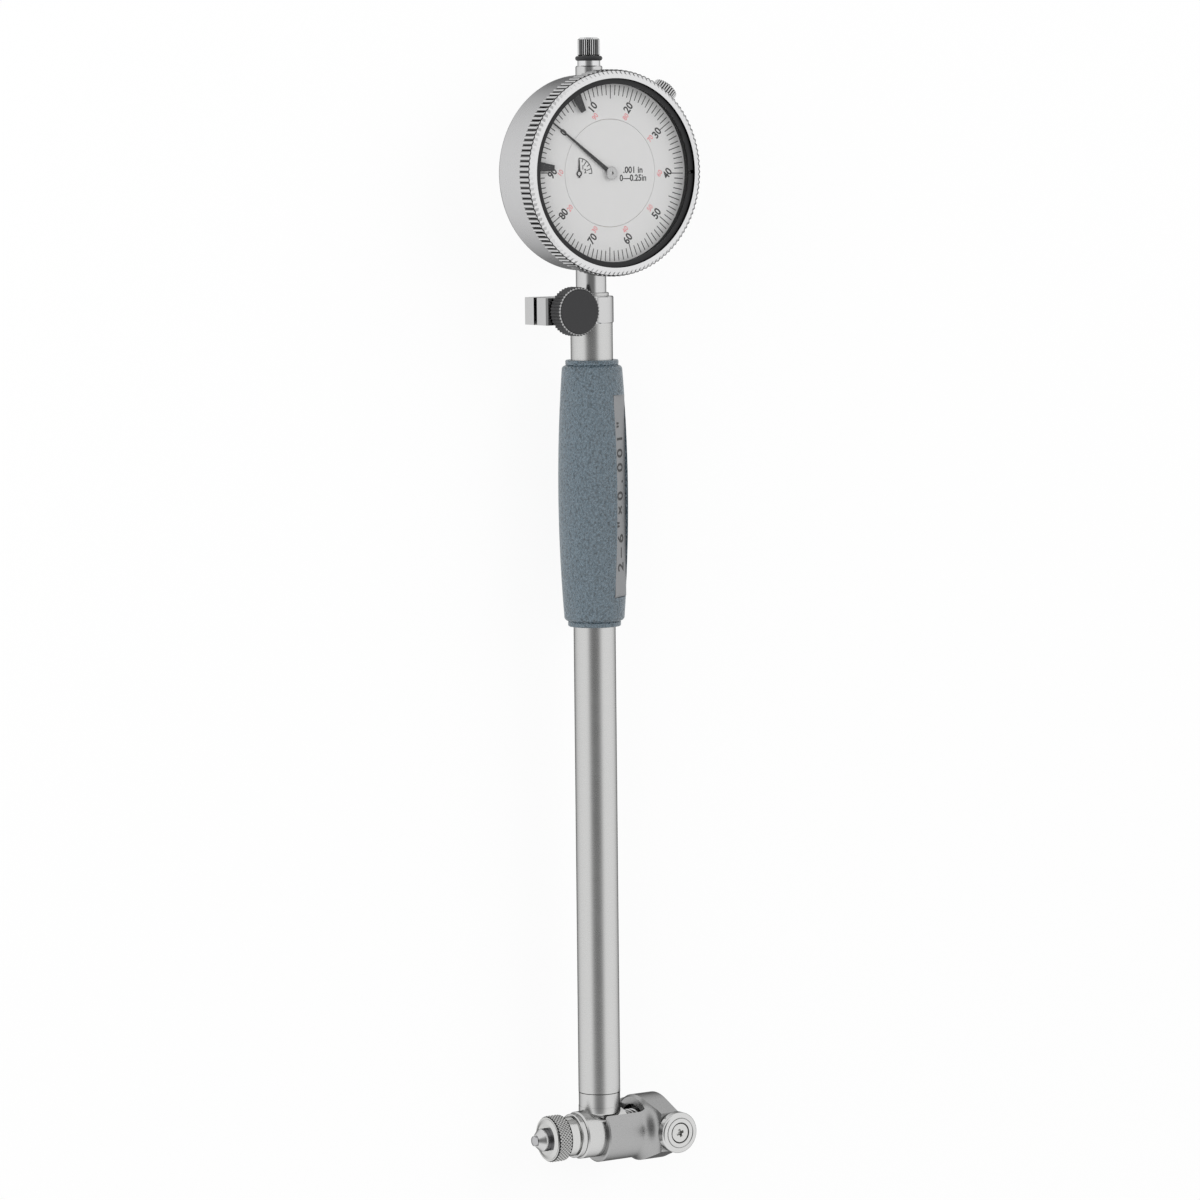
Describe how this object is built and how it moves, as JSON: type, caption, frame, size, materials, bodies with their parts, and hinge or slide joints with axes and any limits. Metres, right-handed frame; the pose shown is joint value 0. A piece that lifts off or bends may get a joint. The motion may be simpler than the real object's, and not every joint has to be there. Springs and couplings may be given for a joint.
{
  "type": "dial bore gauge",
  "caption": "Dial bore gauge: a dial indicator clamped on a long tube with a grip, over a T-shaped measuring head with fixed anvil, moving contact and wheeled centring bridge.",
  "frame": {"origin": "crossing of the measuring axis and the handle axis, in the measuring head", "axes": "+X along the measuring axis towards the moving contact, +Y along the handle towards the dial indicator, +Z the dial's outward normal"},
  "size_m": [0.058, 0.3228, 0.0296],
  "materials": {
    "satin_steel": "satin turned",
    "polished_steel": "polished",
    "dark_steel": "dark ground steel",
    "bezel_metal": "bright knurled",
    "case_metal": "satin",
    "brass": "machined",
    "spring_steel": "drawn wire",
    "bridge_steel": "satin machined",
    "black_coat": "matte black",
    "knob_plastic": "matte black",
    "grip_plastic": "grained blue-grey",
    "plate_metal": "anodised",
    "ring_rubber": "matte",
    "dial_paint": "satin light grey",
    "hand_paint": "black",
    "clear_window": "clear",
    "carbide": "lapped"
  },
  "bodies": {
    "frame": {"anvil_rod": "dark_steel", "anvil_tip": "carbide", "back_cover": "case_metal", "clamp_collar": "satin_steel", "cover_screws": "dark_steel", "crank_pin": "dark_steel", "dial_center": "dial_paint", "front_plate": "brass", "grip": "grip_plastic", "guide_spring": "spring_steel", "hairspring": "spring_steel", "handle_tube": "satin_steel", "head_body": "satin_steel", "indicator_case": "case_metal", "indicator_stem": "satin_steel", "lock_boss": "satin_steel", "plate_pillars": "brass", "range_plate": "plate_metal", "rear_plate": "brass", "return_spring": "spring_steel", "rod_bush": "brass", "rod_spring": "spring_steel", "spacing_washer": "polished_steel", "spindle_guide": "brass", "upper_bushing": "satin_steel"},
    "contact": {"measuring_contact": "polished_steel", "contact_tip": "carbide"},
    "crank": {"bell_crank": "dark_steel"},
    "push_rod": {"push_rod": "dark_steel"},
    "spindle": {"spindle": "spring_steel", "guide_pin": "spring_steel", "contact_point": "carbide", "lifting_cap": "satin_steel", "cap_ring": "ring_rubber"},
    "rack_gear": {"rack_arbor": "spring_steel", "drive_gear": "brass"},
    "centre_hand": {"centre_arbor": "spring_steel", "main_pointer": "hand_paint", "pointer_cap": "polished_steel"},
    "counter_hand": {"counter_arbor": "spring_steel", "counter_gear": "brass", "counter_pointer": "hand_paint"},
    "bridge": {"guide_bridge": "bridge_steel", "wheel_screws": "satin_steel", "guide_stop_screw": "dark_steel"},
    "wheel_front": {"wheel_front": "polished_steel"},
    "wheel_rear": {"wheel_rear": "polished_steel"},
    "lock_nut": {"lock_nut": "polished_steel"},
    "bezel": {"bezel": "bezel_metal", "dial_ring": "dial_paint", "crystal": "clear_window", "crystal_retainer": "black_coat"},
    "limit_hand_upper": {"limit_hand_upper": "hand_paint"},
    "limit_hand_left": {"limit_hand_left": "hand_paint"},
    "clamp_knob": {"clamp_knob": "knob_plastic", "clamp_stud": "dark_steel"},
    "bezel_lock": {"bezel_lock_screw": "satin_steel"}
  },
  "joints": [
    {"name": "push_rod_slide", "type": "slide", "parent": "frame", "child": "push_rod", "axis": [0, 1, 0], "range_m": [0, 0.0015], "stiffness_N_per_m": 300, "springref_m": -0.008, "deforming": ["rod_spring"]},
    {"name": "contact_slide", "type": "slide", "parent": "frame", "child": "contact", "axis": [-1, 0, 0], "range_m": [0, 0.0015]},
    {"name": "crank_turn", "type": "hinge", "parent": "frame", "child": "crank", "pos_m": [0.004, 0.004, 0], "axis": [0, 0, 1], "range_deg": [-21.5, 0]},
    {"name": "spindle_slide", "type": "slide", "parent": "frame", "child": "spindle", "axis": [0, 1, 0], "range_m": [0, 0.0015], "deforming": ["return_spring"]},
    {"name": "rack_gear_turn", "type": "hinge", "parent": "frame", "child": "rack_gear", "pos_m": [-0.0024, 0.2705, 0.004], "axis": [0, 0, 1], "range_deg": [0, 53.2]},
    {"name": "centre_hand_turn", "type": "hinge", "parent": "frame", "child": "centre_hand", "pos_m": [0, 0.2752, 0.008], "axis": [0, 0, 1], "range_deg": [-212.7, 0]},
    {"name": "counter_hand_turn", "type": "hinge", "parent": "frame", "child": "counter_hand", "pos_m": [-0.0104, 0.2752, 0.008], "axis": [0, 0, 1], "range_deg": [-21.3, 0], "deforming": ["hairspring"]},
    {"name": "bridge_slide", "type": "slide", "parent": "frame", "child": "bridge", "axis": [-1, 0, 0], "range_m": [0, 0.003], "stiffness_N_per_m": 500, "springref_m": -0.004, "deforming": ["guide_spring"]},
    {"name": "wheel_front_spin", "type": "hinge", "parent": "bridge", "child": "wheel_front", "pos_m": [0.018, 0, 0.01325], "axis": [0, 0, 1], "continuous": true},
    {"name": "wheel_rear_spin", "type": "hinge", "parent": "bridge", "child": "wheel_rear", "pos_m": [0.018, 0, -0.01325], "axis": [0, 0, 1], "continuous": true},
    {"name": "lock_nut_turn", "type": "hinge", "parent": "frame", "child": "lock_nut", "pos_m": [-0.014, 0, 0], "axis": [1, 0, 0], "range_deg": [0, 360]},
    {"name": "bezel_turn", "type": "hinge", "parent": "frame", "child": "bezel", "pos_m": [0, 0.2752, 0.0105], "axis": [0, 0, 1], "continuous": true},
    {"name": "limit_hand_upper_turn", "type": "hinge", "parent": "bezel", "child": "limit_hand_upper", "pos_m": [0, 0.2752, 0.0113], "axis": [0, 0, 1], "range_deg": [-140, 20]},
    {"name": "limit_hand_left_turn", "type": "hinge", "parent": "bezel", "child": "limit_hand_left", "pos_m": [0, 0.2752, 0.0113], "axis": [0, 0, 1], "range_deg": [-20, 140]},
    {"name": "clamp_knob_turn", "type": "hinge", "parent": "frame", "child": "clamp_knob", "pos_m": [-0.0113, 0.23665, 0.009], "axis": [0, 0, 1], "range_deg": [0, 360]},
    {"name": "bezel_lock_turn", "type": "hinge", "parent": "frame", "child": "bezel_lock", "pos_m": [0.02134, 0.29769, 0.0054], "axis": [0.6884, 0.7254, 0], "range_deg": [0, 360]}
  ],
  "couplings": [
    {"joint": "contact_slide", "follows": "push_rod_slide", "ratio": 1},
    {"joint": "crank_turn", "follows": "push_rod_slide", "rad_per_m": -250},
    {"joint": "spindle_slide", "follows": "push_rod_slide", "ratio": 1},
    {"joint": "rack_gear_turn", "follows": "push_rod_slide", "rad_per_m": 618.42},
    {"joint": "centre_hand_turn", "follows": "push_rod_slide", "rad_per_m": -2473.7},
    {"joint": "counter_hand_turn", "follows": "push_rod_slide", "rad_per_m": -247.37}
  ]
}
